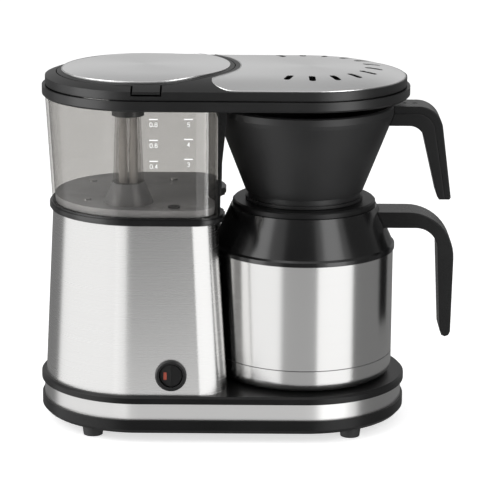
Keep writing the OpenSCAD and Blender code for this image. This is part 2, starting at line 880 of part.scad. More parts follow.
module liner_solid(inset) {
  low = carafe_z + 6;
  waist = shoulder_z - 4;
  translate([carafe_x, 0, low + inset]) cylinder(r = liner_r - inset, h = waist - low - inset);
  translate([carafe_x, 0, waist - eps])
    cylinder(r1 = liner_r - inset, r2 = mouth_r + 4 - inset, h = shoulder_top - 8 - waist);
  on_carafe(mouth_r + 4 - inset, shoulder_top - 8 - 2 * eps, 7);
}

module carafe_liner() {
  color("#bdbdbb") difference() {
    liner_solid(0);
    liner_solid(0.8);
    on_carafe(mouth_r + 3.2, shoulder_top - 12, 20);
  }
}

module shoulder_solid() {
  lip = 3.2;
  fall = 4.7;
  translate([carafe_x, 0, shoulder_z]) {
    cylinder(r = shoulder_r, h = lip);
    translate([0, 0, lip]) cylinder(r1 = shoulder_r, r2 = shoulder_r - 1.5, h = fall - lip);
    translate([0, 0, fall])
      cylinder(r1 = shoulder_r - 1.5, r2 = neck_r, h = shoulder_top - shoulder_z - fall);
  }
}

module carafe_shoulder() {
  skin = 2.6;
  inner_z = shoulder_z + 2.5;
  color("#151515") difference() {
    shoulder_solid();
    on_carafe(carafe_r + 0.05, shoulder_z - 1, 3.5);
    translate([carafe_x, 0, inner_z - eps])
      cylinder(r1 = carafe_r - 1.4, r2 = neck_r - skin, h = shoulder_top - 3 - inner_z);
    on_carafe(mouth_r + 4.1, shoulder_top - 10, 20);
    carafe_screw_axis() cylinder(r = 1.5, h = 22, $fn = 32);
  }
}

module carafe_lid() {
  edge = 1.2;
  drip_r = 9;
  color("#1a1a1a") difference() {
    union() {
      on_carafe(carafe_lid_r, shoulder_top + 0.1, ring_z - shoulder_top - 0.1 - edge);
      translate([carafe_x, 0, ring_z - edge])
        cylinder(r1 = carafe_lid_r, r2 = carafe_lid_r - edge, h = edge);
      on_carafe(mouth_r - 2, shoulder_top - 20, 20.2);
    }
    translate([carafe_x, 0, ring_z - 4]) cylinder(r1 = drip_r, r2 = 24, h = 4 + eps);
    on_carafe(drip_r, shoulder_top - 30, 40);
    difference() {
      on_carafe(mouth_r - 4.4, shoulder_top - 21, 18);
      on_carafe(drip_r + 2.4, shoulder_top - 22, 22);
    }
    translate([carafe_x, 0, shoulder_top - 14]) tube(60, mouth_r - 3.4, 3.6);
  }
}

module carafe_lid_seal() {
  color("#4a4a48") translate([carafe_x, 0, shoulder_top - 13.6])
    tube(mouth_r + 2.6, mouth_r - 3.3, 2.8);
}

carafe_grip_top = bend(50, 168.8, 36, -1, [grip_reach - 1.1, 72.6]);
carafe_grip_low = bend(50, 156.4, 17, 2.8, [107.6, 74]);

module carafe_handle() {
  tip = [[grip_reach - 2.6, 69.6], [grip_reach - 5.4, 68.6], [grip_reach - 8, 69.8]];
  color("#1c1c1c") difference() {
    grip(concat(carafe_grip_top, tip, reversed(carafe_grip_low)), carafe_grip_w);
    shoulder_solid();
    carafe_screw_axis() cylinder(r = 1.5, h = 22, $fn = 32);
  }
}

// Two screws pass from inside the shoulder into the handle's root.
module carafe_screw_axis() {
  for (y = [-8, 8]) translate([carafe_x + neck_r - 2, y, shoulder_z + 23]) rotate([0, 90, 0])
    children();
}

module carafe_handle_screws() {
  color("#8a8a8a") carafe_screw_axis() {
    translate([0, 0, 1]) cylinder(r = 1.45, h = 18, $fn = 32);
    cylinder(r = 2.6, h = 1.4, $fn = 32);
  }
}

// ---------- water heating, inside the tower ----------

left_leg = rx;
right_leg = outlet_x;
ring_x = (left_leg + right_leg) / 2;
ring_r = (right_leg - left_leg) / 2;
element_drop = 13;

// A U of the given section: two legs pointing forwards, joined by a half ring.
module heater_u(front, back = 0) {
  translate([ring_x, back, heater_z]) rotate_extrude(angle = 180) translate([ring_r, 0]) children();
  for (x = [left_leg, right_leg]) translate([x, back, heater_z]) rotate([90, 0, 0])
    linear_extrude(back - front) children();
}

module heater_body() {
  color("#a9abad") difference() {
    heater_u(leg_end + 8) {
      translate([-7, -element_drop - 6]) square([14, element_drop + 13]);
    }
    heater_u(leg_end + 6) circle(5, $fn = 48);
    heater_u(leg_end + 6) translate([0, -element_drop]) circle(4.2, $fn = 48);
  }
}

module heating_element() {
  color("#6b655e") heater_u(leg_end) translate([0, -element_drop]) circle(4, $fn = 48);
  color("#bdbdbd") difference() {
    heater_u(leg_end) circle(4.9, $fn = 48);
    heater_u(leg_end - 1) circle(3.6, $fn = 48);
  }
}

module heater_bracket() {
  color("#b4b4b4") for (side = [-1, 1]) translate([ring_x + side * ring_r - 6, 0, floor_z]) {
    cube([12, 14, 1.2]);
    cube([12, 1.2, heater_z - element_drop - 6 - floor_z]);
  }
}

module thermostat() {
  color("#d8d4c8") translate([ring_x, ring_r, heater_z + 7]) {
    cylinder(r = 6.6, h = 6);
    for (side = [-1, 1]) translate([side * 3 - 0.4, -2, 6]) cube([0.8, 4, 6]);
  }
}

module thermal_fuse() {
  color("#e6e2da") translate([left_leg, -12, heater_z + 9]) rotate([-90, 0, 0])
    cylinder(r = 2, h = 24, $fn = 32);
}

// Vertical hose with an elbow at its foot that turns forwards-pointing pipe into an upright.
module riser_hose(x, y, top) {
  translate([x, y, heater_z + bend_r]) tube(hose_r, hose_bore, top - heater_z - bend_r);
  translate([x, y + bend_r, heater_z + bend_r]) rotate([90, 0, -90])
    rotate_extrude(angle = -90) translate([bend_r, 0]) difference() {
      circle(hose_r, $fn = 48);
      circle(hose_bore, $fn = 48);
    }
}

module run_hose(x, y0, y1) {
  translate([x, y0, heater_z]) rotate([90, 0, 0]) tube(hose_r, hose_bore, y0 - y1);
}

valve_z = 118;
valve_h = 24;

module inlet_hose() {
  color("#d9d6cf") difference() {
    union() {
      riser_hose(outlet_x, outlet_y, tank_z);
      run_hose(outlet_x, leg_end, outlet_y + bend_r);
    }
    translate([outlet_x, outlet_y, valve_z]) cylinder(r = 20, h = valve_h);
  }
}

module outlet_hose() {
  color("#d9d6cf") riser_hose(rx, ry, riser_low);
}

module check_valve() {
  color("#eeeeea") translate([outlet_x, outlet_y, valve_z]) difference() {
    cylinder(r = 7, h = valve_h);
    translate([0, 0, -1]) cylinder(r = 3, h = valve_h + 2);
  }
}

module hose_clamps() {
  color("#a0a0a0") for (p = [
      [outlet_x, outlet_y, valve_z - 7], [outlet_x, outlet_y, valve_z + valve_h + 3],
      [outlet_x, outlet_y, collar_z - 9], [rx, ry, collar_z - 9], [rx, ry, heater_z + 16]])
    translate(p) tube(hose_r + 0.9, hose_r, 4);
}

module terminal_block() {
  color("#e8e6df") translate([tower_x + 22, 40, floor_z]) difference() {
    cube([26, 12, 14]);
    for (k = [0 : 2]) translate([5 + 8 * k, 6, 8]) cylinder(r = 2, h = 10, $fn = 32);
  }
}

// ---------- assembly ----------

base_pan();
base_band();
base_deck();
feet();
base_screws();
cord_gland();
tower_shell();
bay_panel();
tower_collar();
switch_bezel();
switch_rocker();
switch_housing();
switch_terminals();
reservoir_tank();
reservoir_floor();
floor_screws();
outlet_strainer();
riser_base();
riser_tube();
riser_inner_tubes();
riser_cap();
head_posts();
head_frame();
head_cover();
brew_plate();
lid_ring();
lid_disc();
lid_tab();
lid_hinge_pin();
water_duct();
shower_head();
head_screws();
filter_basket();
basket_handle_outer();
basket_handle_inner();
basket_handle_screws();
carafe_body();
carafe_base_cap();
carafe_liner();
carafe_shoulder();
carafe_lid();
carafe_lid_seal();
carafe_handle();
carafe_handle_screws();
heater_body();
heating_element();
heater_bracket();
thermostat();
thermal_fuse();
inlet_hose();
outlet_hose();
check_valve();
hose_clamps();
terminal_block();
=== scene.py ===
import math

import bmesh
import bpy
from mathutils import Matrix, Vector
from mathutils.bvhtree import BVHTree


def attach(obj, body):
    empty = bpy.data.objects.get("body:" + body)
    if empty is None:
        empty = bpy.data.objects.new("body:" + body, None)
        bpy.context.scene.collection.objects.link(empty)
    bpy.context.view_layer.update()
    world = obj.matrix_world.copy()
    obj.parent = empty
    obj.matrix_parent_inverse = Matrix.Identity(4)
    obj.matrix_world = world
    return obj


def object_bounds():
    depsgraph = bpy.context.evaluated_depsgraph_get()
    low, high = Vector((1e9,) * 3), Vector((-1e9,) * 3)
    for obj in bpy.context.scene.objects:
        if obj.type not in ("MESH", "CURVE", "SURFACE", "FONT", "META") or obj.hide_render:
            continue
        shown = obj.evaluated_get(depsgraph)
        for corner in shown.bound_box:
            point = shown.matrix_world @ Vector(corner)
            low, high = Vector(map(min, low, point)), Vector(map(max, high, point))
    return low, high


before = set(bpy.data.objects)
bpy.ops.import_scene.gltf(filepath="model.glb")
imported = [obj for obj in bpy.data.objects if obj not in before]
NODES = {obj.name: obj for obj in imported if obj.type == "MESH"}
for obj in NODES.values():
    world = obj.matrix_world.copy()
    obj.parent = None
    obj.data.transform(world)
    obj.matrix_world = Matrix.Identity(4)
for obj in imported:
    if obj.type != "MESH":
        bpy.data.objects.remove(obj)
cad_box = [list(c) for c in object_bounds()]
scene = bpy.context.scene

# ---------------------------------------------------------------- camera

CAMERA_AT = (0.00376, -1.72354, 0.58046)
CAMERA_TILT = 75.733   # degrees from straight down
CAMERA_TURN = 0.005    # radians about the vertical
CAMERA_ROLL = 0.005    # radians about the line of sight
CAMERA_SENSOR = 36     # millimetres
CAMERA_LENS = 169.365  # millimetres


def add_camera():
    camera = bpy.data.cameras.new("camera")
    camera.sensor_width = CAMERA_SENSOR
    camera.lens = CAMERA_LENS
    camera.clip_end = 50
    made = bpy.data.objects.new("camera", camera)
    made.matrix_world = (
        Matrix.Translation(CAMERA_AT)
        @ Matrix.Rotation(CAMERA_TURN, 4, "Z")
        @ Matrix.Rotation(math.radians(CAMERA_TILT), 4, "X")
        @ Matrix.Rotation(CAMERA_ROLL, 4, "Z")
    )
    scene.collection.objects.link(made)
    scene.camera = made


add_camera()
scene.view_settings.view_transform = "Standard"


# ---------------------------------------------------------------- node helpers

class Graph:
    """Short names for building a node tree."""

    def __init__(self, tree):
        self.tree = tree
        tree.nodes.clear()

    def add(self, kind, **values):
        node = self.tree.nodes.new(kind)
        for key, value in values.items():
            setattr(node, key, value)
        return node

    def link(self, source, target):
        self.tree.links.new(source, target)

    def put(self, socket, value):
        """Links a socket to another one, or sets its value."""
        if isinstance(value, bpy.types.NodeSocket):
            self.link(value, socket)
        else:
            socket.default_value = value

    def math(self, op, a, b=0.0, c=0.0):
        node = self.add("ShaderNodeMath", operation=op)
        for socket, value in zip(node.inputs, (a, b, c)):
            self.put(socket, value)
        return node.outputs[0]

    def span(self, value, lo, hi, out_lo=0.0, out_hi=1.0, smooth=False):
        """Maps lo..hi to out_lo..out_hi, held at both ends."""
        node = self.add("ShaderNodeMapRange")
        if smooth:
            node.interpolation_type = "SMOOTHSTEP"
        self.put(node.inputs["Value"], value)
        self.put(node.inputs["From Min"], lo)
        self.put(node.inputs["From Max"], hi)
        self.put(node.inputs["To Min"], out_lo)
        self.put(node.inputs["To Max"], out_hi)
        return node.outputs["Result"]

    def mix(self, fac, a, b):
        """A colour between a and b. Inputs 6 and 7 and output 2 are the node's colour ones."""
        node = self.add("ShaderNodeMix", data_type="RGBA")
        self.put(node.inputs[0], fac)
        self.put(node.inputs[6], a)
        self.put(node.inputs[7], b)
        return node.outputs[2]

    def noise(self, coords, scale=1.0, detail=2.0, rough=0.5):
        node = self.add("ShaderNodeTexNoise")
        self.put(node.inputs["Vector"], coords)
        node.inputs["Scale"].default_value = scale
        node.inputs["Detail"].default_value = detail
        node.inputs["Roughness"].default_value = rough
        return node.outputs["Fac"]

    def stretched(self, scale):
        """Object-space coordinates, scaled along each axis."""
        coords = self.add("ShaderNodeTexCoord")
        mapping = self.add("ShaderNodeMapping")
        mapping.inputs["Scale"].default_value = scale
        self.link(coords.outputs["Object"], mapping.inputs["Vector"])
        return mapping.outputs["Vector"]

    def bump(self, height, strength, distance, normal=None):
        node = self.add("ShaderNodeBump")
        node.inputs["Strength"].default_value = strength
        node.inputs["Distance"].default_value = distance
        self.link(height, node.inputs["Height"])
        if normal is not None:
            self.link(normal, node.inputs["Normal"])
        return node.outputs["Normal"]

    def soft_edge(self, radius):
        """Normals that round every edge by radius, or None where radius is 0."""
        if not radius:
            return None
        node = self.add("ShaderNodeBevel")
        node.samples = 4
        node.inputs["Radius"].default_value = radius
        return node.outputs["Normal"]


def new_material(name):
    made = bpy.data.materials.new(name)
    made.use_nodes = True
    return made, Graph(made.node_tree)


def principled(g, **values):
    shader = g.add("ShaderNodeBsdfPrincipled")
    for key, value in values.items():
        g.put(shader.inputs[key.replace("_", " ")], value)
    return shader


def output(g, shader):
    out = g.add("ShaderNodeOutputMaterial")
    g.link(shader.outputs[0], out.inputs["Surface"])


def rgba(v, tint=(1.0, 1.0, 1.0)):
    return (v * tint[0], v * tint[1], v * tint[2], 1.0)


# ---------------------------------------------------------------- materials

NEUTRAL = (1.0, 1.0, 1.0)
MID_NOISE = (0.3, 0.7)   # the stretch of a noise's values that carries its pattern
BRUSH_TURN = 0.25        # anisotropic rotation, in turns
CLEAR_ROUGH = 0.05
# The share that clear plastic reflects face on, and what is added to it edge-on
MIRROR_FACING, MIRROR_ADDED = 0.045, 0.45


def steel(name, level, rough, aniso, grain, radial=True, warm=(1.0, 0.995, 0.985), edge=0.0):
    """Metal with a fine grain. A grain scale that is small along one axis draws lines along it."""
    made, g = new_material(name)
    lines = g.noise(g.stretched(grain), 1.0, 3.0, 0.65)
    broad = g.noise(g.stretched((9, 9, 9)), 1.0, 2.0)
    dull, bright = rgba(level * 0.985, warm), rgba(min(level * 1.01, 0.97), warm)
    color = g.mix(g.span(lines, *MID_NOISE), dull, bright)
    color = g.mix(g.span(broad, *MID_NOISE, 0.0, 0.08), color, rgba(level * 0.94, warm))
    shader = principled(
        g, Base_Color=color, Metallic=1.0, Anisotropic=aniso, Anisotropic_Rotation=BRUSH_TURN,
        Roughness=g.span(lines, 0.25, 0.75, rough * 0.97, rough * 1.03),
    )
    g.link(g.bump(lines, 0.009, 0.00002, g.soft_edge(edge)), shader.inputs["Normal"])
    if radial:
        tangent = g.add("ShaderNodeTangent", direction_type="RADIAL", axis="Z")
        g.link(tangent.outputs[0], shader.inputs["Tangent"])
    output(g, shader)
    return made


def plastic(name, level, rough, grain=2600.0, relief=0.10, spec=0.5, edge=0.0004,
            tint=(1.0, 1.0, 1.02)):
    """Moulded plastic: a fine spark-eroded grain, slight cloudiness and softened edges."""
    made, g = new_material(name)
    coords = g.stretched((1, 1, 1))
    fine = g.noise(coords, grain, 2.0, 0.6)
    cloud = g.noise(coords, 24.0, 3.0)
    color = g.mix(g.span(cloud, *MID_NOISE), rgba(level * 0.85, tint), rgba(level * 1.15, tint))
    shader = principled(
        g, Base_Color=color, Specular_IOR_Level=spec,
        Roughness=g.math("ADD", g.span(fine, *MID_NOISE, rough - 0.03, rough + 0.03),
                         g.span(cloud, *MID_NOISE, -0.03, 0.03)),
    )
    g.link(g.bump(fine, relief, 0.00006, g.soft_edge(edge)), shader.inputs["Normal"])
    output(g, shader)
    return made


def clear(name, tint, least, edge_tint=None, body_level=0.10):
    """Thin clear plastic, darker where it is seen edge-on. least is the share of it that is cloudy."""
    made, g = new_material(name)
    facing = g.add("ShaderNodeLayerWeight")
    facing.inputs["Blend"].default_value = 0.5
    edge_tint = edge_tint or tuple(c * 0.88 for c in tint)
    side = g.math("POWER", facing.outputs["Facing"], 9.0)
    haze = g.noise(g.stretched((14, 14, 6)), 1.0, 2.0)
    color = g.mix(side, (*tint, 1.0), (*edge_tint, 1.0))
    through = g.add("ShaderNodeBsdfTransparent")
    g.link(color, through.inputs["Color"])
    body = principled(
        g, Base_Color=rgba(body_level, (1.0, 0.985, 0.965)), Specular_IOR_Level=0.5,
        Roughness=g.span(haze, *MID_NOISE, CLEAR_ROUGH, CLEAR_ROUGH + 0.03),
    )
    mirror = g.add("ShaderNodeBsdfGlossy")
    mirror.inputs["Roughness"].default_value = CLEAR_ROUGH
    cloudy = g.add("ShaderNodeMixShader")
    cloudy.inputs[0].default_value = least
    g.link(through.outputs[0], cloudy.inputs[1])
    g.link(body.outputs[0], cloudy.inputs[2])
    grazing = g.math("POWER", facing.outputs["Facing"], 5.0)
    glossy = g.add("ShaderNodeMixShader")
    g.link(g.math("MULTIPLY_ADD", grazing, MIRROR_ADDED, MIRROR_FACING), glossy.inputs[0])
    g.link(cloudy.outputs[0], glossy.inputs[1])
    g.link(mirror.outputs[0], glossy.inputs[2])
    output(g, glossy)
    return made


BRUSHED_ROUND = (3.0, 3.0, 1700.0)    # brush lines that run round the body
BRUSHED_ALONG = (3.0, 1900.0, 40.0)   # brush lines that run along the machine
RUBBERY = dict(grain=900, relief=0.2)
STEELS = {
    "tower_steel": dict(level=0.86, rough=0.27, aniso=0.80, grain=BRUSHED_ROUND),
    "band_steel": dict(level=0.76, rough=0.32, aniso=0.70, grain=BRUSHED_ROUND),
    "carafe_steel": dict(level=0.86, rough=0.23, aniso=0.82, grain=BRUSHED_ROUND),
    "top_steel": dict(level=0.66, rough=0.36, aniso=0.5, grain=BRUSHED_ALONG, radial=False,
                      warm=NEUTRAL, edge=0.0006),
    "rim_steel": dict(level=0.93, rough=0.16, aniso=0.0, grain=(60, 60, 60), radial=False,
                      warm=NEUTRAL),
    "liner_steel": dict(level=0.75, rough=0.15, aniso=0.5, grain=BRUSHED_ROUND),
    "screw_steel": dict(level=0.55, rough=0.3, aniso=0.0, grain=(900, 900, 900), radial=False),
    "cast": dict(level=0.5, rough=0.5, aniso=0.0, grain=(700, 700, 700), radial=False),
    "element": dict(level=0.28, rough=0.42, aniso=0.0, grain=(300, 300, 300), radial=False,
                    warm=(1.0, 0.93, 0.86)),
    "brass": dict(level=0.7, rough=0.3, aniso=0.0, grain=(500, 500, 500), radial=False,
                  warm=(1.0, 0.78, 0.42)),
}
PLASTICS = {
    "base_black": dict(level=0.005, rough=0.32, spec=0.30),
    "panel_black": dict(level=0.006, rough=0.26, spec=0.42),
    "head_black": dict(level=0.008, rough=0.34, spec=0.42),
    "basket_black": dict(level=0.010, rough=0.44, spec=0.40),
    "grip_black": dict(level=0.004, rough=0.27, spec=0.32, edge=0.0014),
    "grip_dark": dict(level=0.004, rough=0.33, spec=0.28, edge=0.0014),
    "carafe_black": dict(level=0.004, rough=0.19, spec=0.56),
    "lid_grey": dict(level=0.005, rough=0.36, spec=0.24),
    "switch_black": dict(level=0.008, rough=0.34, spec=0.42),
    "rocker_black": dict(level=0.006, rough=0.30, spec=0.42),
    "rubber": dict(level=0.016, rough=0.6, **RUBBERY),
    # painted shade: the dark band in the carafe's groove
    "seam_dark": dict(level=0.05, rough=0.5, edge=0.0),
    "seal": dict(level=0.08, rough=0.6, **RUBBERY),
    "floor_grey": dict(level=0.42, rough=0.30),
    "riser_grey": dict(level=0.24, rough=0.26),
    "duct_grey": dict(level=0.2, rough=0.4),
    "cap_black": dict(level=0.03, rough=0.36),
    "tube_pale": dict(level=0.74, rough=0.24, tint=(1.0, 0.96, 0.92)),
    "ceramic": dict(level=0.7, rough=0.5, tint=(1.0, 0.98, 0.93)),
    "silicone": dict(level=0.6, rough=0.45, tint=(1.0, 0.97, 0.9)),
    "ink_white": dict(level=0.85, rough=0.5, edge=0.0, tint=NEUTRAL),
    "ink_red": dict(level=0.24, rough=0.4, edge=0.0, tint=(1.0, 0.16, 0.08)),
}
CLEARS = {
    "tank_clear": dict(tint=(0.832, 0.826, 0.816), least=0.03),
    "riser_clear": dict(tint=(0.96, 0.955, 0.95), least=0.10, edge_tint=(0.60, 0.59, 0.58),
                        body_level=0.6),
}
MATERIALS = {}
for make, looks in ((steel, STEELS), (plastic, PLASTICS), (clear, CLEARS)):
    for name, look in looks.items():
        MATERIALS[name] = make(name, **look)

NODES_IN = {  # the nodes made of each material
    "tower_steel": ["tower_shell"],
    "band_steel": ["base_band"],
    "carafe_steel": ["carafe_body", "carafe_base_cap"],
    "top_steel": ["brew_plate", "lid_disc"],
    "liner_steel": ["carafe_liner"],
    "screw_steel": ["base_screws", "floor_screws", "head_screws", "basket_handle_screws",
                    "carafe_handle_screws", "lid_hinge_pin", "heater_bracket", "hose_clamps"],
    "cast": ["heater_body"],
    "element": ["heating_element"],
    "brass": ["switch_terminals"],
    "base_black": ["base_pan", "base_deck"],
    "panel_black": ["bay_panel", "tower_collar", "head_posts"],
    "head_black": ["head_frame", "head_cover", "lid_ring", "lid_tab"],
    "basket_black": ["filter_basket"],
    "grip_black": ["basket_handle_outer", "carafe_handle"],
    "grip_dark": ["basket_handle_inner"],
    "carafe_black": ["carafe_shoulder"],
    "lid_grey": ["carafe_lid"],
    "switch_black": ["switch_bezel", "switch_housing"],
    "rocker_black": ["switch_rocker"],
    "rubber": ["feet", "cord_gland"],
    "seal": ["carafe_lid_seal"],
    "floor_grey": ["reservoir_floor"],
    "riser_grey": ["riser_base"],
    "duct_grey": ["water_duct"],
    "cap_black": ["riser_cap", "shower_head", "outlet_strainer"],
    "tube_pale": ["riser_inner_tubes"],
    "ceramic": ["thermostat", "thermal_fuse", "terminal_block", "check_valve"],
    "silicone": ["inlet_hose", "outlet_hose"],
    "tank_clear": ["reservoir_tank"],
    "riser_clear": ["riser_tube"],
}


def dress_nodes():
    """Gives every node its material. A node that NODES_IN leaves out stops the script."""
    material_of = {node: made for made, nodes in NODES_IN.items() for node in nodes}
    for name, node in NODES.items():
        node.data.materials.clear()
        node.data.materials.append(MATERIALS[material_of[name]])


def smooth_shading(node, limit):
    """Shades a node as one smooth surface wherever faces meet at less than limit degrees."""
    mesh = node.data

    def spot(i):
        return tuple(round(c, 6) for c in mesh.vertices[i].co)

    meeting = {}
    for poly in mesh.polygons:
        for i in poly.vertices:
            meeting.setdefault(spot(i), []).append(poly)
    least = math.cos(math.radians(limit))
    normals = []
    for poly in mesh.polygons:
        poly.use_smooth = True
        for i in poly.vertices:
            total = Vector((0, 0, 0))
            for other in meeting[spot(i)]:
                if other.normal.dot(poly.normal) > least:
                    total += other.normal * other.area
            normals.append(total.normalized() if total.length > 0 else poly.normal.copy())
    mesh.normals_split_custom_set(normals)


SMOOTH_LIMIT = 25
dress_nodes()
for name in ("tower_shell", "bay_panel", "reservoir_tank"):
    smooth_shading(NODES[name], SMOOTH_LIMIT)


# ---------------------------------------------------------------- extra pieces

INK_BACK = 0.00002           # how far the back of printed ink stands off its surface
IN_FRONT, ABOVE = -0.2, 0.4   # where rays start, clear of the object


def piece(name, bm, material, body):
    """Makes a finished mesh into a piece that rides on a body."""
    bmesh.ops.recalc_face_normals(bm, faces=bm.faces)
    mesh = bpy.data.meshes.new(name)
    bm.normal_update()
    bm.to_mesh(mesh)
    bm.free()
    made = bpy.data.objects.new(name, mesh)
    mesh.materials.append(MATERIALS[material])
    scene.collection.objects.link(made)
    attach(made, body)
    return made


def slab(bm, low, top):
    """Closes a block between two matching loops of vertices."""
    bm.faces.new(top)
    bm.faces.new(low[::-1])
    for k in range(len(low)):
        after = (k + 1) % len(low)
        bm.faces.new((low[k], low[after], top[after], top[k]))


def closed_tube(bm, rings, smooth):
    """Joins each ring of vertices to the next, and the last ring to the first."""
    for k, ring in enumerate(rings):
        after = rings[(k + 1) % len(rings)]
        for i in range(len(ring)):
            j = (i + 1) % len(ring)
            bm.faces.new((ring[i], ring[j], after[j], after[i])).smooth = smooth


def surface(name):
    """A node's surface, ready for rays to be cast at it."""
    node = NODES[name]
    verts = [node.matrix_world @ v.co for v in node.data.vertices]
    return BVHTree.FromPolygons(verts, [list(p.vertices) for p in node.data.polygons])


# The reservoir's front wall
TANK_FRONT = 0.0697   # distance in front of the middle, at the wall's foot
TANK_Z = 0.1762       # height of the foot
TANK_H = 0.0831
TANK_FLARE = 0.036    # how much further out the wall's top is, as a share of TANK_FRONT

# Printing on the reservoir. A numeral is drawn in a box 4 wide and 7 high.
NUMERAL_UNIT = 0.00043
NUMERAL_STEP, POINT_STEP, NUMERAL_GAP = 6.0, 2.8, 2.0
NUMERAL_DROP = 0.0056      # from a tick down to its numeral's foot
NUMERAL_STROKE = 0.00040
TICK_HALF, TICK_STROKE = 0.0030, 0.0008
STROKE_CAP = 0.35          # how far a stroke runs past its ends, as a share of its width
PRINT_FACE = 0.00012       # how far the ink's face stands off the wall
LITRES_X, CUPS_X = -0.0694, -0.0433
GRADUATIONS = [
    (LITRES_X, 0.2527, "0.8"), (LITRES_X, 0.2367, "0.6"), (LITRES_X, 0.2206, "0.4"),
    (CUPS_X, 0.2529, "5"), (CUPS_X, 0.2376, "4"), (CUPS_X, 0.2223, "3"),
]
STROKES = {
    "0": [[(0, 1.2), (0, 5.8), (1, 7), (3, 7), (4, 5.8), (4, 1.2), (3, 0), (1, 0), (0, 1.2)]],
    "3": [[(0, 6.2), (1, 7), (3, 7), (4, 6), (4, 4.6), (3, 3.7), (1.4, 3.7)],
          [(3, 3.7), (4, 2.8), (4, 1), (3, 0), (1, 0), (0, 0.8)]],
    "4": [[(3, 0), (3, 7), (0, 2), (4, 2)]],
    "5": [[(4, 7), (0.4, 7), (0.2, 3.9), (1.2, 4.4), (3, 4.4), (4, 3.4), (4, 1.1), (3, 0), (1, 0),
           (0, 0.8)]],
    "6": [[(3.8, 6.2), (3, 7), (1, 7), (0, 5.8), (0, 1.2), (1, 0), (3, 0), (4, 1.1), (4, 3),
           (3, 4), (1, 4), (0, 3)]],
    "8": [[(1, 3.8), (0, 4.8), (0, 6), (1, 7), (3, 7), (4, 6), (4, 4.8), (3, 3.8), (1, 3.8),
           (0, 2.8), (0, 1), (1, 0), (3, 0), (4, 1), (4, 2.8), (3, 3.8)]],
    ".": [[(0, 0.4), (0.8, 0.4)]],
}


def on_tank(x, z, out):
    """A point on the reservoir's front wall, which leans out as it rises, moved out from it."""
    return Vector((x, -TANK_FRONT * (1 + TANK_FLARE * (z - TANK_Z) / TANK_H) - out, z))


def stroke(bm, points, width):
    """A thin raised line through (x, z) points on the reservoir's front."""
    for (ax, ay), (bx, by) in zip(points, points[1:]):
        along = Vector((bx - ax, by - ay)).normalized()
        across = Vector((-along.y, along.x)) * width / 2
        along = along * width * STROKE_CAP
        corners = [(ax - along.x + across.x, ay - along.y + across.y),
                   (bx + along.x + across.x, by + along.y + across.y),
                   (bx + along.x - across.x, by + along.y - across.y),
                   (ax - along.x - across.x, ay - along.y - across.y)]
        low = [bm.verts.new(on_tank(x, z, INK_BACK)) for x, z in corners]
        top = [bm.verts.new(on_tank(x, z, PRINT_FACE)) for x, z in corners]
        slab(bm, low, top)


def scale_marks():
    """The printed ticks, each with its number centred below it."""
    bm = bmesh.new()
    for x, z, text in GRADUATIONS:
        stroke(bm, [(x - TICK_HALF, z), (x + TICK_HALF, z)], TICK_STROKE)
        steps = [POINT_STEP if c == "." else NUMERAL_STEP for c in text]
        at = x - (sum(steps) - NUMERAL_GAP) * NUMERAL_UNIT / 2
        foot = z - NUMERAL_DROP
        for c, step in zip(text, steps):
            for line in STROKES[c]:
                points = [(at + u * NUMERAL_UNIT, foot + v * NUMERAL_UNIT) for u, v in line]
                stroke(bm, points, NUMERAL_STROKE)
            at += step * NUMERAL_UNIT
    return piece("tank_scale_marks", bm, "ink_white", "machine")


# The red bar on the rocker
BAR_LEFT, BAR_RIGHT, BAR_LOW, BAR_HIGH = -0.0625, -0.0601, 0.0507, 0.0564
BAR_FACE = 0.00010   # how far the ink's face stands off the rocker


def rocker_mark():
    """A short red bar printed on the left half of the rocker's face."""
    face = surface("switch_rocker")
    bm = bmesh.new()
    low, top = [], []
    for x, z in ((BAR_LEFT, BAR_LOW), (BAR_RIGHT, BAR_LOW), (BAR_RIGHT, BAR_HIGH),
                 (BAR_LEFT, BAR_HIGH)):
        hit = face.ray_cast(Vector((x, IN_FRONT, z)), Vector((0, 1, 0)))[0]
        low.append(bm.verts.new(hit - Vector((0, INK_BACK, 0))))
        top.append(bm.verts.new(hit - Vector((0, BAR_FACE, 0))))
    slab(bm, low, top)
    return piece("rocker_mark", bm, "ink_red", "rocker")


# Painted shade: a dark band put in the carafe's groove, where the groove's own shadow falls
CARAFE_X = 0.04505
SEAM_OUTER, SEAM_INNER, SEAM_LOW, SEAM_HIGH = 0.07020, 0.07012, 0.05585, 0.05640
SEAM_COUNT = 180


def groove_shade_ring():
    """A band of painted shade round the carafe, in the groove at the top of its base cap."""
    bm = bmesh.new()
    corners = ((SEAM_OUTER, SEAM_LOW), (SEAM_OUTER, SEAM_HIGH), (SEAM_INNER, SEAM_HIGH),
               (SEAM_INNER, SEAM_LOW))
    rings = []
    for k in range(SEAM_COUNT):
        a = 2 * math.pi * k / SEAM_COUNT
        rings.append([bm.verts.new((CARAFE_X + r * math.cos(a), r * math.sin(a), z))
                      for r, z in corners])
    closed_tube(bm, rings, smooth=False)
    return piece("carafe_groove_shade_paint", bm, "seam_dark", "carafe")


# Outlines of the two steel tops
LID_X, LID_R = -0.07825, 0.0652      # the reservoir lid's disc
LID_GAP = 0.0733                     # radius of the plate's hollow edge, about the same middle
PLATE_X, PLATE_R = 0.04575, 0.077    # the plate's round end
HORN_X, HORN_R = -0.00625, 0.020     # the plate's two round corners beside the disc
BEAD_R = 0.00045
BEAD_SIDES = 8
BEAD_INSET = 0.0006                  # from the outline in to the bead


